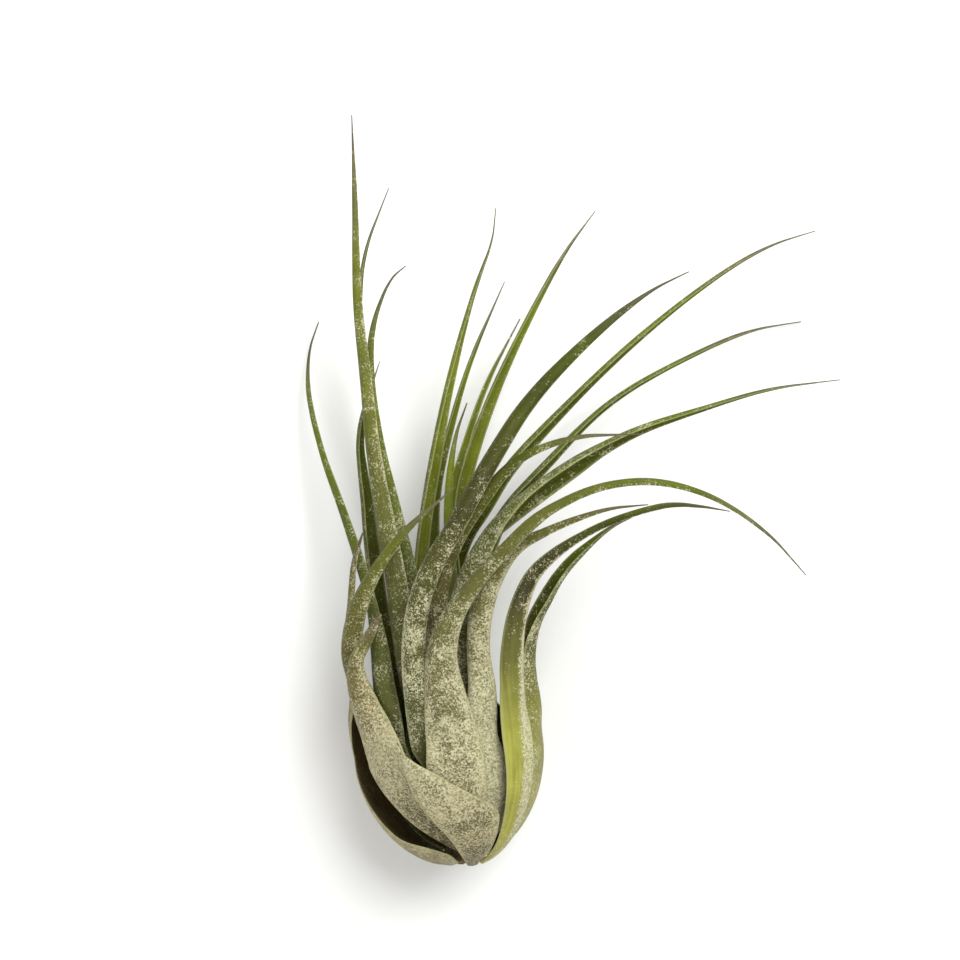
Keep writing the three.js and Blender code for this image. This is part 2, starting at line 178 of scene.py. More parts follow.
class Trait(Enum):
    """Names of the values that each leaf mesh carries for its finish."""

    PLACE = "leaf_place"
    ALONG = "leaf_along"
    INNER = "leaf_inner"
    RIM = "leaf_rim"
    FELT = "leaf_felt"
    WARM = "leaf_warm"
    SHADE = "leaf_shade"


@dataclass(frozen=True)
class LeafFinish:
    """Living leaf of an air plant: smooth green skin under a felt of flat silver scales.

    The skin has the soft shine of wax and faint ribs along the leaf. The scales are dry, thin discs,
    matte and almost white, so the eye sees salt and pepper where they thin out and silver where they
    close up, on the sheaths and along the margins. They break up most of the skin's shine.

    Each spot adds up its felt, the wander of its patch, and its blotch and scale at their weights. It
    is bare below bare_below, and under scales as far as full_cover from full_above.
    """

    name: str
    slot: str
    foot: str
    neck: str
    blade: str
    upper: str
    channel: str
    tip: str = "#5b5646"
    scale_light: str = "#d0ccaa"
    scale_dark: str = "#89865f"
    warm_skin: str = "#5e4c36"
    warm_scale: str = "#b8a67f"
    rim: str = "#a2a274"
    scale_mm: float = 0.26
    blotch_mm: float = 0.27
    patch_mm: float = 3.6
    cloud_mm: float = 6.0
    rib_mm: float = 0.5
    rib_squeeze: float = 0.04
    patch_wander: tuple[float, float] = (-0.22, 0.28)
    blotch_weight: float = 0.62
    scale_weight: float = 0.38
    bare_below: float = 0.82
    full_above: float = 1.26
    full_cover: float = 0.9
    warm_scale_share: float = 0.8
    rim_share: float = 0.5
    cloud_share: float = 0.45
    rib_share: float = 0.4
    saturation: float = 1.15
    rib_relief: float = 0.5
    relief_mm: float = 0.05
    skin_roughness: float = 0.58
    scale_roughness: float = 0.85

    def build(self) -> bpy.types.Material:
        """Makes the node material.

        Returns:
            The leaf material.
        """
        material = bpy.data.materials.new(self.name)
        material.use_nodes = True
        tree = material.node_tree
        tree.nodes.clear()
        trait = {
            name: add_node(tree, "ShaderNodeAttribute", {"attribute_name": name.value}).outputs[
                "Vector" if name is Trait.PLACE else "Fac"]
            for name in Trait
        }
        spot = add_node(tree, "ShaderNodeTexCoord").outputs["Object"]
        # Ribs run along the leaf: the pattern is squeezed across it and drawn out along it.
        lengthwise = add_node(
            tree, "ShaderNodeMapping",
            {"Scale": (1 / self.rib_mm, self.rib_squeeze / self.rib_mm, 1.0)},
            {"Vector": trait[Trait.PLACE]},
        ).outputs["Vector"]
        ribs = add_node(
            tree, "ShaderNodeTexNoise", {"Scale": 1.0, "Detail": 2.0, "Roughness": 0.6},
            {"Vector": lengthwise},
        ).outputs["Fac"]
        cells = add_node(
            tree, "ShaderNodeTexVoronoi", {"Scale": 1 / (self.scale_mm * MM)}, {"Vector": spot}
        )
        cell_tone = add_node(
            tree, "ShaderNodeSeparateColor", links={"Color": cells.outputs["Color"]}
        ).outputs["Red"]
        cover = self._cover(tree, trait, spot, cell_tone)
        skin = self._skin(tree, trait, ribs, spot)

        scale = add_node(
            tree, "ShaderNodeMix",
            {"data_type": "RGBA", 6: linear(self.scale_dark), 7: linear(self.scale_light)},
            {0: cell_tone},
        ).outputs[2]
        warm_share = add_node(
            tree, "ShaderNodeMath", {"operation": "MULTIPLY", 1: self.warm_scale_share},
            {0: trait[Trait.WARM]},
        ).outputs["Value"]
        warm_scale = add_node(
            tree, "ShaderNodeMix", {"data_type": "RGBA", 7: linear(self.warm_scale)},
            {0: warm_share, 6: scale},
        ).outputs[2]
        felted = add_node(
            tree, "ShaderNodeMix", {"data_type": "RGBA"}, {0: cover, 6: skin, 7: warm_scale}
        ).outputs[2]
        rim_share = add_node(
            tree, "ShaderNodeMath", {"operation": "MULTIPLY", 1: self.rim_share},
            {0: trait[Trait.RIM]},
        ).outputs["Value"]
        colour = add_node(
            tree, "ShaderNodeMix", {"data_type": "RGBA", 7: linear(self.rim)},
            {0: rim_share, 6: felted},
        ).outputs[2]

        roughness = add_node(
            tree, "ShaderNodeMapRange",
            {"To Min": self.skin_roughness, "To Max": self.scale_roughness}, {"Value": cover},
        ).outputs["Result"]
        relief = add_node(
            tree, "ShaderNodeMath", {"operation": "MULTIPLY_ADD", 1: self.rib_relief},
            {0: ribs, 2: cover},
        ).outputs["Value"]
        bump = add_node(
            tree, "ShaderNodeBump", {"Strength": 0.7, "Distance": self.relief_mm * MM},
            {"Height": relief},
        ).outputs["Normal"]
        shader = add_node(
            tree, "ShaderNodeBsdfPrincipled",
            {"IOR": 1.45, "Specular IOR Level": 0.22, "Sheen Weight": 0.03},
            {"Base Color": colour, "Roughness": roughness, "Normal": bump},
        )
        add_node(tree, "ShaderNodeOutputMaterial", links={"Surface": shader.outputs["BSDF"]})
        return material

    def _skin(
        self,
        tree: bpy.types.NodeTree,
        trait: dict[Trait, bpy.types.NodeSocket],
        ribs: bpy.types.NodeSocket,
        spot: bpy.types.NodeSocket,
    ) -> bpy.types.NodeSocket:
        """Colour of the bare skin, from the foot to the tip, with ribs and cloudy patches.

        Args:
            tree: The node tree.
            trait: The values that the leaf mesh carries.
            ribs: The pattern along the leaf.
            spot: The place in the object.

        Returns:
            The colour socket.
        """
        outside = add_node(
            tree, "ShaderNodeValToRGB",
            {"stops": tuple(zip(
                OUTSIDE_STOPS, (self.foot, self.neck, self.blade, self.upper, self.tip)))},
            {"Fac": trait[Trait.ALONG]},
        ).outputs["Color"]
        inside = add_node(
            tree, "ShaderNodeValToRGB",
            {"stops": tuple(zip(
                INSIDE_STOPS, (self.channel, self.channel, self.upper, self.tip)))},
            {"Fac": trait[Trait.ALONG]},
        ).outputs["Color"]
        both = add_node(
            tree, "ShaderNodeMix", {"data_type": "RGBA"},
            {0: trait[Trait.INNER], 6: outside, 7: inside},
        ).outputs[2]
        warmed = add_node(
            tree, "ShaderNodeMix", {"data_type": "RGBA", 7: linear(self.warm_skin)},
            {0: trait[Trait.WARM], 6: both},
        ).outputs[2]
        clouds = add_node(
            tree, "ShaderNodeTexNoise",
            {"Scale": 1 / (self.cloud_mm * MM), "Detail": 3.0, "Roughness": 0.6},
            {"Vector": spot},
        ).outputs["Fac"]
        clouded = add_node(
            tree, "ShaderNodeMix",
            {"data_type": "RGBA", "blend_type": "OVERLAY", 0: self.cloud_share},
            {6: warmed, 7: clouds},
        ).outputs[2]
        ribbed = add_node(
            tree, "ShaderNodeMix",
            {"data_type": "RGBA", "blend_type": "OVERLAY", 0: self.rib_share},
            {6: clouded, 7: ribs},
        ).outputs[2]
        return add_node(
            tree, "ShaderNodeHueSaturation", {"Saturation": self.saturation},
            {"Color": ribbed, "Value": trait[Trait.SHADE]},
        ).outputs["Color"]

    def _cover(
        self,
        tree: bpy.types.NodeTree,
        trait: dict[Trait, bpy.types.NodeSocket],
        spot: bpy.types.NodeSocket,
        cell_tone: bpy.types.NodeSocket,
    ) -> bpy.types.NodeSocket:
        """How much of each spot the scales cover.

        Args:
            tree: The node tree.
            trait: The values that the leaf mesh carries.
            spot: The place in the object.
            cell_tone: A random value for each scale.

        Returns:
            A socket that is 0 on bare skin and full_cover on a scale.
        """
        patches = add_node(
            tree, "ShaderNodeTexNoise",
            {"Scale": 1 / (self.patch_mm * MM), "Detail": 3.0, "Roughness": 0.6},
            {"Vector": spot},
        ).outputs["Fac"]
        wander = add_node(
            tree, "ShaderNodeMapRange",
            {"From Min": NOISE_LOW, "From Max": NOISE_HIGH,
             "To Min": self.patch_wander[0], "To Max": self.patch_wander[1]},
            {"Value": patches},
        ).outputs["Result"]
        outside = add_node(
            tree, "ShaderNodeMapRange", {"To Min": 1.0, "To Max": INNER_FELT},
            {"Value": trait[Trait.INNER]},
        ).outputs["Result"]
        felt = add_node(
            tree, "ShaderNodeMath", {"operation": "MULTIPLY_ADD"},
            {0: trait[Trait.FELT], 1: outside, 2: wander},
        ).outputs["Value"]
        # Real scales are 0.1 to 0.3 mm wide, so a blotch is one or two of them.
        blotches = add_node(
            tree, "ShaderNodeTexNoise",
            {"Scale": 1 / (self.blotch_mm * MM), "Detail": 2.0, "Roughness": 0.6},
            {"Vector": spot},
        ).outputs["Fac"]
        spread = add_node(
            tree, "ShaderNodeMapRange",
            {"From Min": NOISE_LOW, "From Max": NOISE_HIGH, "To Max": self.blotch_weight},
            {"Value": blotches},
        ).outputs["Result"]
        drawn = add_node(
            tree, "ShaderNodeMath", {"operation": "MULTIPLY_ADD", 1: self.scale_weight},
            {0: cell_tone, 2: spread},
        ).outputs["Value"]
        total = add_node(
            tree, "ShaderNodeMath", {"operation": "ADD"}, {0: felt, 1: drawn}
        ).outputs["Value"]
        return add_node(
            tree, "ShaderNodeMapRange",
            {"From Min": self.bare_below, "From Max": self.full_above, "To Max": self.full_cover},
            {"Value": total},
        ).outputs["Result"]


# The same leaf in the tones that the plant shows: fresh, dark, dull, silvery and pale, and the fresh
# one with its channel painted darker, as shade.
GREEN = LeafFinish(
    name="leaf_skin_green", slot="leaf_green", foot="#5f6139", neck="#50552d",
    blade="#525a27", upper="#616b29", channel="#61682b",
)
OLIVE = LeafFinish(
    name="leaf_skin_olive", slot="leaf_olive", foot="#4d4e2c", neck="#464825",
    blade="#404319", upper="#475116", channel="#484d1d",
)
GREY = LeafFinish(
    name="leaf_skin_grey", slot="leaf_grey", foot="#62644a", neck="#595c3b",
    blade="#4d5027", upper="#525d21", channel="#504829",
)
SILVER = LeafFinish(
    name="leaf_skin_silver", slot="leaf_silver", foot="#6b6e50", neck="#646a49",
    blade="#575833", upper="#5a5f2d", channel="#414316",
)
# Fresh skin whose inner channel is painted darker: painted shade in the channels of the right-hand
# leaves.
GREEN_SHADED_CHANNEL = replace(GREEN, name="leaf_skin_green_shaded_channel", channel="#4a511a")
PALE = LeafFinish(
    name="leaf_skin_pale", slot="leaf_pale", foot="#a3a05a", neck="#8c8c4c",
    blade="#42461e", upper="#556123", channel="#3f4510",
)


@dataclass(frozen=True)
class ScaleFinish:
    """Leaf scale that stands out: a dry, papery disc that scatters light like felt and looks pale."""

    name: str = "leaf_scale_papery"
    light: str = "#a9a57f"
    dark: str = "#757149"
    tone_mm: float = 1.1
    roughness: float = 0.9

    def build(self) -> bpy.types.Material:
        """Makes the node material.

        Returns:
            The scale material.
        """
        material = bpy.data.materials.new(self.name)
        material.use_nodes = True
        tree = material.node_tree
        tree.nodes.clear()
        spot = add_node(tree, "ShaderNodeTexCoord").outputs["Object"]
        tone = add_node(
            tree, "ShaderNodeTexNoise", {"Scale": 1 / (self.tone_mm * MM), "Detail": 2.0},
            {"Vector": spot},
        ).outputs["Fac"]
        colour = add_node(
            tree, "ShaderNodeValToRGB",
            {"stops": ((NOISE_LOW, self.dark), (NOISE_HIGH, self.light))},
            {"Fac": tone},
        ).outputs["Color"]
        shader = add_node(
            tree, "ShaderNodeBsdfPrincipled",
            {"Roughness": self.roughness, "IOR": 1.45, "Sheen Weight": 0.2},
            {"Base Color": colour},
        )
        add_node(tree, "ShaderNodeOutputMaterial", links={"Surface": shader.outputs["BSDF"]})
        return material


class NodeRings:
    """The rings of eight corners that a packed leaf was lofted through, from its foot to its tip."""

    def __init__(self, node: str) -> None:
        """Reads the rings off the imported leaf.

        Args:
            node: Name of the CAD node.
        """
        mesh = bmesh.new()
        mesh.from_mesh(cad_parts[node].data)
        bmesh.ops.remove_doubles(mesh, verts=mesh.verts, dist=SAME_PLACE)
        centres = [v for v in mesh.verts if len(v.link_edges) == SECTION_CORNERS]
        foot = min(centres, key=lambda v: v.co.y)
        rings = self._matched([self._walked(level) for level in self._levels(foot)[1:-1]])
        places = np.array([[corner.co for corner in ring] for ring in rings])
        self.places = np.roll(places, -self._first_corner(places), axis=1)
        mesh.free()

    @staticmethod
    def _levels(foot: bmesh.types.BMVert) -> list[list[bmesh.types.BMVert]]:
        """Groups the corners by how many edges they are from the middle of the foot's cap.

        Args:
            foot: The middle of the foot's cap.

        Returns:
            The groups, the foot's own first.
        """
        seen = {foot}
        levels = [[foot]]
        while levels[-1]:
            found = []
            for corner in levels[-1]:
                for edge in corner.link_edges:
                    other = edge.other_vert(corner)
                    if other not in seen:
                        seen.add(other)
                        found.append(other)
            levels.append(found)
        return levels[:-1]

    @staticmethod
    def _walked(level: list[bmesh.types.BMVert]) -> list[bmesh.types.BMVert]:
        """Puts one ring's corners in order round it.

        Args:
            level: The ring's corners in any order.

        Returns:
            The same corners, each beside the next.
        """
        members = set(level)
        ring = [level[0]]
        while len(ring) < len(level):
            beside = [edge.other_vert(ring[-1]) for edge in ring[-1].link_edges]
            ring.append(next(v for v in beside if v in members and v not in ring))
        return ring

    @staticmethod
    def _matched(rings: list[list[bmesh.types.BMVert]]) -> list[list[bmesh.types.BMVert]]:
        """Turns each ring so that corners with the same number lie on one line along the leaf.

        Args:
            rings: The rings, each starting anywhere and running either way round.

        Returns:
            The rings, anticlockwise as seen from the tip, in step with each other.
        """
        middles = [sum((v.co for v in ring), Vector()) / len(ring) for ring in rings]
        turned = []
        for number, ring in enumerate(rings):
            ahead = min(number + 1, len(rings) - 1)
            course = middles[ahead] - middles[ahead - 1]
            spin = Vector()
            for one, two in zip(ring, ring[1:] + ring[:1]):
                spin += (one.co - middles[number]).cross(two.co - middles[number])
            if spin.dot(course) < 0:
                ring = ring[::-1]
            if turned:
                linked = {edge.other_vert(turned[-1][0]) for edge in turned[-1][0].link_edges}
                touching = [i for i, v in enumerate(ring) if v in linked]
                start = next(i for i in touching if (i + 1) % len(ring) in touching)
                ring = ring[start:] + ring[:start]
            turned.append(ring)
        return turned

    @staticmethod
    def _first_corner(places: np.ndarray) -> int:
        """Finds the corner on the right margin, in the widest and flattest ring.

        Args:
            places: The corners' places, ring by ring.

        Returns:
            Its number round the ring.
        """
        half = SECTION_CORNERS // 2
        spans = np.linalg.norm(places[:, :half] - places[:, half:], axis=2)
        ring = int(spans.max(axis=1).argmax())
        margin = int(spans[ring].argmax())
        middle = (places[ring, margin] + places[ring, margin + half]) / 2
        quarter = half // 2
        sides = [(margin + quarter) % SECTION_CORNERS, (margin - quarter) % SECTION_CORNERS]
        inner = min(sides, key=lambda i: np.linalg.norm(places[ring, i] - middle))
        return (inner - quarter) % SECTION_CORNERS


@dataclass(frozen=True)
class Scale:
    """Leaf scale that stands out of the felt: a flat cone, its sizes given as shares of its radius."""

    sides: int = 6
    radius_mm: float = 0.085
    radius_shares: tuple[float, float] = (0.7, 1.3)
    tilt_degrees: tuple[float, float] = (2.0, 28.0)
    top: float = 0.25
    height: float = 0.3
    lift: float = 0.25

    def add(
        self, tuft: bmesh.types.BMesh, draw: random.Random, spot: Vector, up: Vector, course: Vector
    ) -> None:
        """Adds one scale to a tuft, lifted a little on the side of the leaf's tip.

        Args:
            tuft: The mesh that it joins.
            draw: The leaf's random numbers.
            spot: Where on the leaf it stands.
            up: The direction away from the leaf's surface there.
            course: The direction towards the leaf's tip there.
        """
        radius = self.radius_mm * MM * draw.uniform(*self.radius_shares)
        lean = -math.radians(draw.uniform(*self.tilt_degrees))
        tilt = Matrix.Rotation(lean, 4, up.cross(course))
        facing = up.to_track_quat("Z", "Y").to_matrix().to_4x4()
        bmesh.ops.create_cone(
            tuft, cap_ends=True, cap_tris=True, segments=self.sides, radius1=radius,
            radius2=radius * self.top, depth=radius * self.height,
            matrix=Matrix.Translation(spot + up * radius * self.lift) @ tilt @ facing,
        )


@dataclass
class Leaf:
    """One leaf or sheath, drawn finely on the course of its CAD node.

    Felt, warmth and shade are given at the stations: how densely the scales stand, how brown the
    skin is, and how light it is against its finish. Margins is how much more felt the left and the
    right margin carry than the middle, and margin_from is how far out that felt begins; on margins
    turned to the key light, mostly the right ones, this felt is partly a painted highlight. Keel is its
    height as a share of the leaf's width, and keel_hollow how far it draws the margins back.
    """

    node: str
    finish: LeafFinish
    felt: tuple[float, float, float, float] = (0.6, 0.5, 0.25, 0.0)
    warm: tuple[float, float, float, float] = (0.1, 0.1, 0.0, 0.0)
    shade: tuple[float, float, float, float] = (1.0, 1.0, 1.0, 1.0)
    step_mm: float = 0.7
    corners: int = 32
    sheath_mm: float = 24.0
    tip_taper_mm: float = 12.0
    tip_share: float = 0.42
    keel: float = 0.05
    keel_fade: float = 0.15
    keel_pinch: float = 1.6
    keel_hollow: float = -0.35
    ripple_mm: float = 0.12
    ripple_waves: tuple[float, float, float] = (2.3, 4.1, 7.7)
    ripple_width_mm: float = 4.0
    blunt: bool = False
    margins: tuple[float, float] = (0.1, 0.1)
    margin_from: float = 0.4
    scales_per_mm2: float = 5.0
    places: np.ndarray = field(init=False, repr=False)
    along: np.ndarray = field(init=False, repr=False)

    def build(self) -> bpy.types.Object:
        """Lofts the fine leaf through its CAD rings.

        Returns:
            The finished leaf, undressed.
        """
        lengths = self._draw_rings()
        count = len(self.places)
        mesh = bmesh.new()
        # On this cylinder a corner's height gives its ring, and its angle its number round the ring.
        bmesh.ops.create_cone(
            mesh, cap_ends=True, cap_tris=True, segments=self.corners,
            radius1=1.0, radius2=1.0, depth=1.0,
        )
        uprights = [e for e in mesh.edges if abs(e.verts[0].co.z - e.verts[1].co.z) > 0.5]
        bmesh.ops.subdivide_edges(mesh, edges=uprights, cuts=count - 2)
        spots = []
        for vert in mesh.verts:
            row = round((vert.co.z + 0.5) * (count - 1))
            turn = math.atan2(vert.co.y, vert.co.x) / (2 * math.pi) * self.corners
            capped = math.hypot(vert.co.x, vert.co.y) < 0.5
            spots.append((row, -1 if capped else round(turn) % self.corners))
        for vert, (row, corner) in zip(mesh.verts, spots):
            vert.co = self.places[row].mean(axis=0) if corner < 0 else self.places[row, corner]
        face_outwards(mesh)
        piece = into_scene(self.node + "_fine", mesh)
        piece.data.shade_smooth()
        self._note(piece.data, spots, lengths)
        return piece

    def strew(self) -> bpy.types.Object:
        """Scatters the scales that stand out over the leaf, thickest where its felt is.

        Returns:
            All of this leaf's scales, as one piece.
        """
        draw = random.Random(self.node)
        here = self.places[:-1]
        ahead = self.places[1:] - here
        beside = np.roll(here, -1, axis=1) - here
        cross = np.cross(beside, ahead)
        areas = np.linalg.norm(cross, axis=2)
        turns = (np.arange(self.corners) + 0.5) * 2 * np.pi / self.corners
        facing_share = np.where(np.sin(turns) > INNER_FROM, INNER_SCALES, 1.0)
        felt = np.clip(np.interp(self.along[:-1], STATIONS, self.felt) - SPARSE_FELT, 0, 1)
        weights = areas * facing_share[None, :] * felt[:, None]
        wanted = int(weights.sum() / MM ** 2 * self.scales_per_mm2)
        steps = np.cumsum(weights.ravel())
        scale = Scale()
        mesh = bmesh.new()
        tuft = bmesh.new()
        shelf = bpy.data.meshes.new("tuft")
        for number in range(wanted):
            pick = int(np.searchsorted(steps, draw.random() * steps[-1]))
            place = divmod(min(pick, steps.size - 1), self.corners)
            spot = Vector(here[place])
            spot += draw.random() * Vector(beside[place])
            spot += draw.random() * Vector(ahead[place])
            up = Vector(cross[place]).normalized()
            scale.add(tuft, draw, spot, up, Vector(ahead[place]).normalized())
            if number % TUFT == TUFT - 1 or number == wanted - 1:
                tuft.to_mesh(shelf)
                mesh.from_mesh(shelf)
                tuft.clear()
        tuft.free()
        bpy.data.meshes.remove(shelf)
        piece = into_scene(self.node + "_scales", mesh)
        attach(piece, BODY)
        return piece

    def dress(self, piece: bpy.types.Object, material: bpy.types.Material) -> None:
        """Gives the leaf its finish and its place in the frame.

        Args:
            piece: The leaf that build made.
            material: The material of its finish.
        """
        piece.data.materials.append(material)
        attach(piece, BODY)
        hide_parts(self.node)

    def _draw_rings(self) -> np.ndarray:
        """Works out the fine rings and where each lies between the foot and the tip.

        Returns:
            Each ring's distance from the foot in millimetres.
        """
        coarse = NodeRings(self.node).places
        middles = coarse.mean(axis=1)
        marks = np.concatenate([[0], np.cumsum(np.linalg.norm(np.diff(middles, axis=0), axis=1))])
        count = max(LEAST_RINGS, int(marks[-1] / (self.step_mm * MM)))
        wanted = np.linspace(0, marks[-1], count)
        flat = coarse.reshape(len(coarse), -1)
        smooth = self._curved(marks, flat, wanted).reshape(count, SECTION_CORNERS, 3)
        self.places = self._rounded(smooth)
        lengths = wanted / MM
        if self.blunt:
            self.along = lengths / lengths[-1] * NECK_STATION
        else:
            self.along = np.interp(
                lengths, (0, self.sheath_mm, lengths[-1]), (0, NECK_STATION, 1))
            self._fold()
            self._sharpen(lengths)
        return lengths

    def _fold(self) -> None:
        """Gives the blade a keel along its outside and lets its margins ripple."""
        draw = random.Random(self.node + " ripple")
        half = self.corners // 2
        turns = np.arange(self.corners) * 2 * np.pi / self.corners
        across = self.places[:, 0] - self.places[:, half]
        width = np.linalg.norm(across, axis=1)
        course = np.gradient(self.places.mean(axis=1), axis=0)
        outer = np.cross(across, course)
        outer /= np.linalg.norm(outer, axis=1, keepdims=True)
        middle = self.places.mean(axis=1)
        belly = self.places[:, 3 * self.corners // 4] - middle
        outer *= np.sign((outer * belly).sum(axis=1, keepdims=True))
        grown = np.clip((self.along - NECK_STATION) / self.keel_fade, 0, 1)
        ridge = np.clip(1 - np.abs(np.cos(turns)) * self.keel_pinch, self.keel_hollow, 1)
        push = (self.keel * width * grown)[:, None] * ridge[None, :]
        waves = sum(
            np.sin(self.along * number * 2 * np.pi + draw.uniform(0, 2 * np.pi))
            / len(self.ripple_waves)
            for number in self.ripple_waves
        )
        ripple = self.ripple_mm * MM * waves * np.clip(width / (self.ripple_width_mm * MM), 0, 1)
        # The cube keeps the ripple to the margins.
        push += ripple[:, None] * (np.abs(np.cos(turns)) ** 3)[None, :]
        self.places += push[:, :, None] * outer[:, None, :]

    def _sharpen(self, lengths: np.ndarray) -> None:
        """Draws the last stretch of the blade out to a thread.

        Args:
            lengths: Distance of each ring from the foot, in millimetres.
        """
        left = lengths[-1] - lengths
        share = self.tip_share + (1 - self.tip_share) * np.clip(left / self.tip_taper_mm, 0, 1)
        centre = self.places.mean(axis=1, keepdims=True)
        self.places = centre + (self.places - centre) * share[:, None, None]

    @staticmethod
    def _curved(marks: np.ndarray, values: np.ndarray, wanted: np.ndarray) -> np.ndarray:
        """Runs a smooth curve through the values, by cubic spans with averaged slopes.

        Args:
            marks: Distances at which the values are known.
            values: The values, one row for each mark.
            wanted: Distances at which they are asked for.

        Returns:
            The values there, one row for each distance.
        """
        gaps = np.diff(marks)
        slopes = np.diff(values, axis=0) / gaps[:, None]
        inside = slopes[:-1] * gaps[1:, None] + slopes[1:] * gaps[:-1, None]
        inside /= (gaps[:-1] + gaps[1:])[:, None]
        tangents = np.vstack([slopes[:1], inside, slopes[-1:]])
        span = np.clip(np.searchsorted(marks, wanted, side="right") - 1, 0, len(gaps) - 1)
        gap = gaps[span][:, None]
        t = ((wanted - marks[span]) / gaps[span])[:, None]
        return (
            (2 * t ** 3 - 3 * t ** 2 + 1) * values[span]
            + (t ** 3 - 2 * t ** 2 + t) * gap * tangents[span]
            + (3 * t ** 2 - 2 * t ** 3) * values[span + 1]
            + (t ** 3 - t ** 2) * gap * tangents[span + 1]
        )

    def _rounded(self, rings: np.ndarray) -> np.ndarray:
        """Rounds each eight-cornered ring by the smoothest wave through its corners.

        Args:
            rings: The eight-cornered rings.

        Returns:
            The same rings with as many corners as the fine leaf has.
        """
        waves = np.fft.fft(rings, axis=1) / SECTION_CORNERS
        turns = np.arange(self.corners) * 2 * np.pi / self.corners
        half = SECTION_CORNERS // 2
        numbers = np.fft.fftfreq(SECTION_CORNERS, 1 / SECTION_CORNERS)
        basis = np.exp(1j * np.outer(turns, numbers))
        basis[:, half] = np.cos(half * turns)
        return np.real(np.einsum("tk,rkx->rtx", basis, waves))

    def _margin_felt_and_highlight(self, turns: np.ndarray) -> np.ndarray:
        """Felt that the margins carry over the middle of the leaf, on margins turned to the key light
        partly a painted highlight.

        Args:
            turns: Angles round the leaf's section, from its right margin.

        Returns:
            The extra felt at each angle.
        """
        left, right = (
            extra * np.clip((side * np.cos(turns) - self.margin_from) / MARGIN_FADE, 0, 1)
            for extra, side in zip(self.margins, (-1, 1))
        )
        return left + right

    def _note(
        self, data: bpy.types.Mesh, spots: list[tuple[int, int]], lengths: np.ndarray
    ) -> None:
        """Writes the values that the finish reads onto the mesh.

        Args:
            data: The leaf mesh.
            spots: Ring and number round it of each vertex, with -1 for a cap's middle.
            lengths: Distance of each ring from the foot, in millimetres.
        """
        rows = np.array([spot[0] for spot in spots])
        turns = np.array([max(spot[1], 0) for spot in spots]) * 2 * np.pi / self.corners
        half = self.corners // 2
        width = np.linalg.norm(self.places[:, 0] - self.places[:, half], axis=1) / MM
        along = self.along[rows]
        inner = np.clip(np.sin(turns) / INNER_FADE, 0, 1)
        values = {
            Trait.ALONG: along,
            Trait.INNER: inner,
            Trait.RIM: np.clip((np.abs(np.cos(turns)) - RIM_FROM) / RIM_FADE, 0, 1),
            Trait.FELT: np.interp(along, STATIONS, self.felt)
            + self._margin_felt_and_highlight(turns) / (1 - (1 - INNER_FELT) * inner),
            Trait.WARM: np.interp(along, STATIONS, self.warm),
            Trait.SHADE: np.interp(along, STATIONS, self.shade),
        }
        for name, value in values.items():
            layer = data.attributes.new(name.value, "FLOAT", "POINT")
            layer.data.foreach_set("value", value.astype(np.float32))
        place = np.stack([np.cos(turns) * width[rows] / 2, lengths[rows], np.sin(turns)], axis=1)
        layer = data.attributes.new(Trait.PLACE.value, "FLOAT_VECTOR", "POINT")
        layer.data.foreach_set("vector", place.astype(np.float32).ravel())


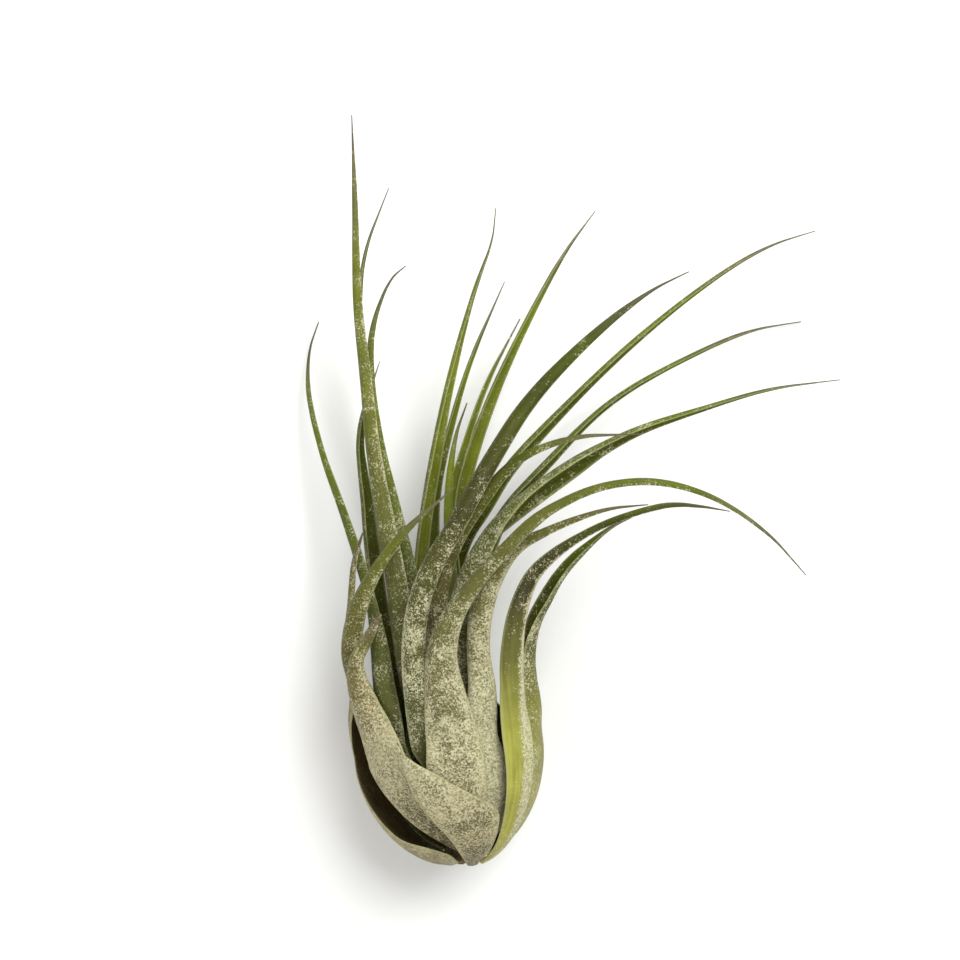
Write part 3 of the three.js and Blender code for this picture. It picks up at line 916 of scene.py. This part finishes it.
@dataclass
class Rosette:
    """All the leaves and sheaths of the plant."""

    leaves: list[Leaf] = field(default_factory=lambda: [
        Leaf("sheath_front", SILVER, felt=(0.4, 0.75, 0.75, 0.75), warm=(0.6, 0.3, 0.3, 0.3),
             shade=(0.85, 1.0, 1.0, 1.0), blunt=True),
        # The outermost leaf is lightened up to twice its finish at the foot and neck: painted light in
        # its deep, shaded inner face.
        Leaf("leaf_left_outermost", GREY, felt=(0.35, 0.3, 0.3, 0.15), warm=(0.5, 0.6, 0.4, 0.3),
             shade=(1.5, 2.0, 1.4, 0.9), tip_taper_mm=3.0, tip_share=0.7, margins=(0.4, 0.2)),
        Leaf("leaf_left_short", SILVER, felt=(0.25, 0.75, 0.4, 0.15), warm=(0.7, 0.4, 0.45, 0.3),
             shade=(0.7, 0.95, 1.1, 0.9), tip_taper_mm=3.0, tip_share=0.7),
        Leaf("leaf_left_crossing", GREY, felt=(0.25, 0.28, 0.22, 0.0), warm=(0.4, 0.6, 0.3, 0.1),
             shade=(0.9, 0.82, 1.02, 1.0), margins=(0.2, 0.2)),
        Leaf("leaf_left_thin", GREEN, felt=(0.15, 0.25, 0.15, 0.0), shade=(0.75, 0.85, 0.85, 0.95)),
        Leaf("leaf_left_channelled", OLIVE, felt=(0.2, 0.25, 0.2, 0.0),
             shade=(0.85, 1.0, 1.15, 1.1)),
        Leaf("leaf_tallest", GREEN, felt=(0.15, 0.22, 0.2, 0.08), warm=(0.1, 0.1, 0.25, 0.1),
             shade=(0.85, 0.9, 1.0, 1.1), margins=(0.1, 0.45), margin_from=0.6),
        Leaf("leaf_behind_tallest", GREEN, shade=(0.8, 0.8, 0.85, 0.8)),
        Leaf("leaf_beside_tallest", GREEN, felt=(0.3, 0.3, 0.25, 0.0), shade=(0.8, 0.9, 1.0, 0.9)),
        Leaf("leaf_upper_first", GREEN, felt=(0.3, 0.25, 0.12, 0.0), shade=(1.0, 1.05, 1.2, 1.0)),
        Leaf("leaf_upper_second", GREEN, felt=(0.3, 0.25, 0.05, 0.0), shade=(1.0, 1.0, 1.0, 0.9)),
        Leaf("leaf_upper_third", GREEN, felt=(0.3, 0.25, 0.08, 0.0), shade=(1.0, 1.0, 0.95, 0.8)),
        Leaf("leaf_upper_arching", GREEN, felt=(0.3, 0.2, 0.05, 0.0), shade=(1.0, 1.0, 1.2, 1.1)),
        Leaf("leaf_centre_young", GREEN, felt=(0.3, 0.2, 0.05, 0.0), shade=(1.0, 1.1, 1.2, 1.0)),
        Leaf("leaf_front_wide", OLIVE, felt=(-0.6, 0.5, 0.06, 0.0), warm=(0.1, 0.0, 0.1, 0.0),
             shade=(0.9, 1.0, 0.72, 0.95), margins=(0.25, 0.1), sheath_mm=34.0),
        Leaf("leaf_front_dark", OLIVE, felt=(0.35, 0.4, 0.15, 0.0), warm=(0.2, 0.5, 0.2, 0.0)),
        Leaf("leaf_right_top", GREEN_SHADED_CHANNEL, felt=(0.4, 0.4, 0.15, 0.0), shade=(1.0, 0.9, 1.05, 1.0)),
        Leaf("leaf_right_upper", GREEN_SHADED_CHANNEL, felt=(0.4, 0.35, 0.15, 0.0), shade=(1.0, 0.9, 0.85, 0.8)),
        Leaf("leaf_right_long", GREEN_SHADED_CHANNEL, felt=(0.4, 0.45, 0.3, 0.0), shade=(1.0, 0.95, 0.9, 0.85)),
        Leaf("leaf_front_arching", GREY, felt=(0.5, 0.6, 0.08, 0.0), warm=(0.45, 0.25, 0.1, 0.0),
             shade=(1.0, 1.0, 1.15, 1.05), margins=(0.1, 0.3)),
        Leaf("leaf_front_silver", SILVER, felt=(0.8, 0.85, 0.4, 0.0), warm=(0.1, 0.1, 0.2, 0.1),
             margins=(0.05, 0.3)),
        Leaf("leaf_right_pale", PALE, felt=(0.5, 0.0, 0.36, 0.05), warm=(0.0, 0.0, 0.25, 0.0),
             shade=(1.0, 1.05, 0.45, 1.0), sheath_mm=27.0,
             margins=(-0.15, 0.8), margin_from=-0.15),
        Leaf("leaf_right_outermost", PALE, felt=(0.35, 0.15, 0.35, 0.05),
             shade=(0.9, 0.75, 0.9, 0.9)),
    ])

    def build(self) -> None:
        """Builds and dresses every leaf, and strews its scales."""
        materials: dict[str, bpy.types.Material] = {}
        scale_material = ScaleFinish().build()
        for leaf in self.leaves:
            finish = leaf.finish
            if finish.name not in materials:
                materials[finish.name] = finish.build()
            piece = leaf.build()
            leaf.dress(piece, materials[finish.name])
            scales = leaf.strew()
            scales.data.materials.append(scale_material)
            log.info("%s: %d faces, scales %d faces", piece.name, len(piece.data.polygons),
                     len(scales.data.polygons))


@dataclass(frozen=True)
class WoodFinish:
    """Short dry stem: dull brown fibrous wood."""

    name: str = "stem_dry_wood"
    slot: str = "stem_wood"
    dark: str = "#4a3a26"
    light: str = "#8a7550"
    fibre_mm: float = 0.35
    roughness: float = 0.85

    def build(self) -> bpy.types.Material:
        """Makes the node material.

        Returns:
            The stem material.
        """
        material = bpy.data.materials.new(self.name)
        material.use_nodes = True
        tree = material.node_tree
        tree.nodes.clear()
        spot = add_node(tree, "ShaderNodeTexCoord").outputs["Object"]
        stretched = add_node(
            tree, "ShaderNodeMapping", {"Scale": (1.0, 0.2, 1.0)}, {"Vector": spot}
        ).outputs["Vector"]
        fibres = add_node(
            tree, "ShaderNodeTexNoise",
            {"Scale": 1 / (self.fibre_mm * MM), "Detail": 4.0}, {"Vector": stretched},
        ).outputs["Fac"]
        colour = add_node(
            tree, "ShaderNodeValToRGB", {"stops": ((0.35, self.dark), (0.7, self.light))},
            {"Fac": fibres},
        ).outputs["Color"]
        bump = add_node(
            tree, "ShaderNodeBump", {"Strength": 0.6, "Distance": 0.1 * MM}, {"Height": fibres}
        ).outputs["Normal"]
        shader = add_node(
            tree, "ShaderNodeBsdfPrincipled", {"Roughness": self.roughness, "IOR": 1.5},
            {"Base Color": colour, "Normal": bump},
        )
        add_node(tree, "ShaderNodeOutputMaterial", links={"Surface": shader.outputs["BSDF"]})
        return material


@dataclass(frozen=True)
class Lamp:
    """Square soft light, aimed at the plant, with its place and size in metres."""

    name: str
    place: tuple[float, float, float]
    size: float
    power: float

    def build(self) -> None:
        """Hangs the lamp."""
        data = bpy.data.lights.new(self.name, "AREA")
        data.shape = "SQUARE"
        data.size = self.size
        data.energy = self.power
        lamp = bpy.data.objects.new(self.name, data)
        lamp.location = self.place
        lamp.rotation_mode = "QUATERNION"
        lamp.rotation_quaternion = (-Vector(self.place)).to_track_quat("-Z", "Y")
        bpy.context.scene.collection.objects.link(lamp)


@dataclass
class Studio:
    """Plain pale floor, soft light from above, and the camera straight over the plant.

    The eye stands over the point that the plant was measured from, and at true_level_mm the picture
    is view_mm wide. The key light hangs to the upper right, the weaker fill light to the left.
    """

    eye_x_mm: float = -15.32
    eye_y_mm: float = 1.70
    true_level_mm: float = 16.75
    distance_mm: float = 900.0
    view_mm: float = 163.2
    sensor_mm: float = 36.0
    clip_end: float = 20.0
    floor_size: float = 6.0
    floor_colour: str = "#f4f4f2"
    floor_roughness: float = 0.9
    sky_strength: float = 0.5
    lamps: tuple[Lamp, ...] = (
        Lamp("key", place=(0.4, 0.5, 1.0), size=0.8, power=15.0),
        Lamp("fill", place=(-0.7, -0.2, 0.9), size=1.0, power=4.0),
    )

    def build(self) -> None:
        """Sets the floor, the lights, the sky and the camera."""
        self._floor()
        for lamp in self.lamps:
            lamp.build()
        self._sky()
        self._camera()
        bpy.context.scene.view_settings.view_transform = "Standard"

    def _floor(self) -> None:
        """Lays the floor under the plant."""
        mesh = bmesh.new()
        bmesh.ops.create_grid(mesh, x_segments=2, y_segments=2, size=self.floor_size / 2)
        floor = into_scene("floor", mesh)
        material = bpy.data.materials.new("floor_white")
        material.use_nodes = True
        shader = material.node_tree.nodes["Principled BSDF"]
        shader.inputs["Base Color"].default_value = linear(self.floor_colour)
        shader.inputs["Roughness"].default_value = self.floor_roughness
        floor.data.materials.append(material)

    def _sky(self) -> None:
        """Gives the scene an even white sky."""
        world = bpy.data.worlds.new("sky")
        world.use_nodes = True
        background = world.node_tree.nodes["Background"]
        background.inputs["Color"].default_value = (1.0, 1.0, 1.0, 1.0)
        background.inputs["Strength"].default_value = self.sky_strength
        bpy.context.scene.world = world

    def _camera(self) -> None:
        """Places the camera over the point that the plant was measured from."""
        data = bpy.data.cameras.new("camera")
        data.sensor_width = self.sensor_mm
        data.lens = self.sensor_mm * self.distance_mm / self.view_mm
        data.clip_end = self.clip_end
        camera = bpy.data.objects.new("camera", data)
        level = self.true_level_mm + self.distance_mm
        camera.location = (self.eye_x_mm * MM, self.eye_y_mm * MM, level * MM)
        bpy.context.scene.collection.objects.link(camera)
        bpy.context.scene.camera = camera


@dataclass
class Stem:
    """Short woody stem, ringed by the scars of shed leaves and worn at its ends.

    It is cut into the CAD stem, so that the leaves keep their gaps. Only its foot swells a little,
    on the left, where an old leaf's base is left. Fibre_slip is how much of the noise's change along
    the stem is taken back, for each millimetre, which draws it out into fibres.
    """

    node: str = "stem"
    rows: int = 44
    cap_steps: int = 4
    ring_mm: float = 1.25
    ring_depth_mm: float = 0.16
    fibre_mm: float = 0.5
    fibre_depth_mm: float = 0.14
    fibre_slip: float = 1.6
    wear_depth_mm: float = 0.5
    swelling_mm: float = 1.1
    swelling_at_mm: float = 2.2
    swelling_reach_mm: float = 1.2
    swelling_power: int = 12

    def build(self) -> bpy.types.Object:
        """Cuts rings, fibres and worn ends into a copy of the CAD stem.

        Returns:
            The finished stem, undressed.
        """
        mesh = bmesh.new()
        mesh.from_mesh(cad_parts[self.node].data)
        bmesh.ops.remove_doubles(mesh, verts=mesh.verts, dist=SAME_PLACE)
        bmesh.ops.dissolve_limit(
            mesh, angle_limit=math.radians(2), verts=mesh.verts, edges=mesh.edges)
        caps = [face for face in mesh.faces if len(face.verts) > 4]
        ends = sorted((cap.calc_center_median() for cap in caps), key=lambda end: end.y)
        axis = (ends[1] - ends[0]).normalized()
        uprights = [e for e in mesh.edges
                    if abs((e.verts[1].co - e.verts[0].co).normalized().dot(axis)) > 0.9]
        bmesh.ops.subdivide_edges(mesh, edges=uprights, cuts=self.rows, use_grid_fill=True)
        for face in [f for f in mesh.faces if len(f.verts) > 4]:
            reach = (face.verts[0].co - face.calc_center_median()).length
            for _ in range(self.cap_steps):
                bmesh.ops.inset_individual(
                    mesh, faces=[face], thickness=reach / (self.cap_steps + 1))
            bmesh.ops.poke(mesh, faces=[face])
        mesh.normal_update()
        for vert, cut in [(v, self._cut(v, ends[0], axis)) for v in mesh.verts]:
            vert.co -= cut
        face_outwards(mesh)
        piece = into_scene(self.node + "_fine", mesh)
        piece.data.shade_smooth()
        return piece

    def _cut(self, vert: bmesh.types.BMVert, end: Vector, axis: Vector) -> Vector:
        """Works out how far a corner of the stem is cut back.

        Args:
            vert: The corner.
            end: Middle of the stem's first end.
            axis: The stem's direction.

        Returns:
            The move to take off the corner's place.
        """
        height = (vert.co - end).dot(axis) / MM
        drawn_out = vert.co / (self.fibre_mm * MM) - axis * height * self.fibre_slip
        rough = 0.5 + 0.5 * noise.noise(drawn_out)
        if abs(vert.normal.dot(axis)) > 0.5:
            return vert.normal * self.wear_depth_mm * MM * rough
        scar = abs(math.sin(math.pi * height / self.ring_mm + rough)) ** 3
        near = math.exp(-((height - self.swelling_at_mm) / self.swelling_reach_mm) ** 2)
        side = max(0.0, vert.normal.dot(SWELLING_SIDE)) ** self.swelling_power
        cut = self.ring_depth_mm * scar + self.fibre_depth_mm * rough
        cut -= self.swelling_mm * near * side
        return vert.normal * MM * cut

    def dress(self, piece: bpy.types.Object) -> None:
        """Gives the stem its wood finish and its place in the frame.

        Args:
            piece: The stem that build made.
        """
        finish = WoodFinish()
        piece.data.materials.append(finish.build())
        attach(piece, BODY)
        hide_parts(self.node)
        log.info("%s: %d faces", piece.name, len(piece.data.polygons))


def main() -> None:
    """Builds the plant and the studio, in order."""
    logging.basicConfig(level=logging.INFO, format="%(name)s: %(message)s")
    Rosette().build()
    stem = Stem()
    stem.dress(stem.build())
    Studio().build()


if __name__ == "__main__":
    main()
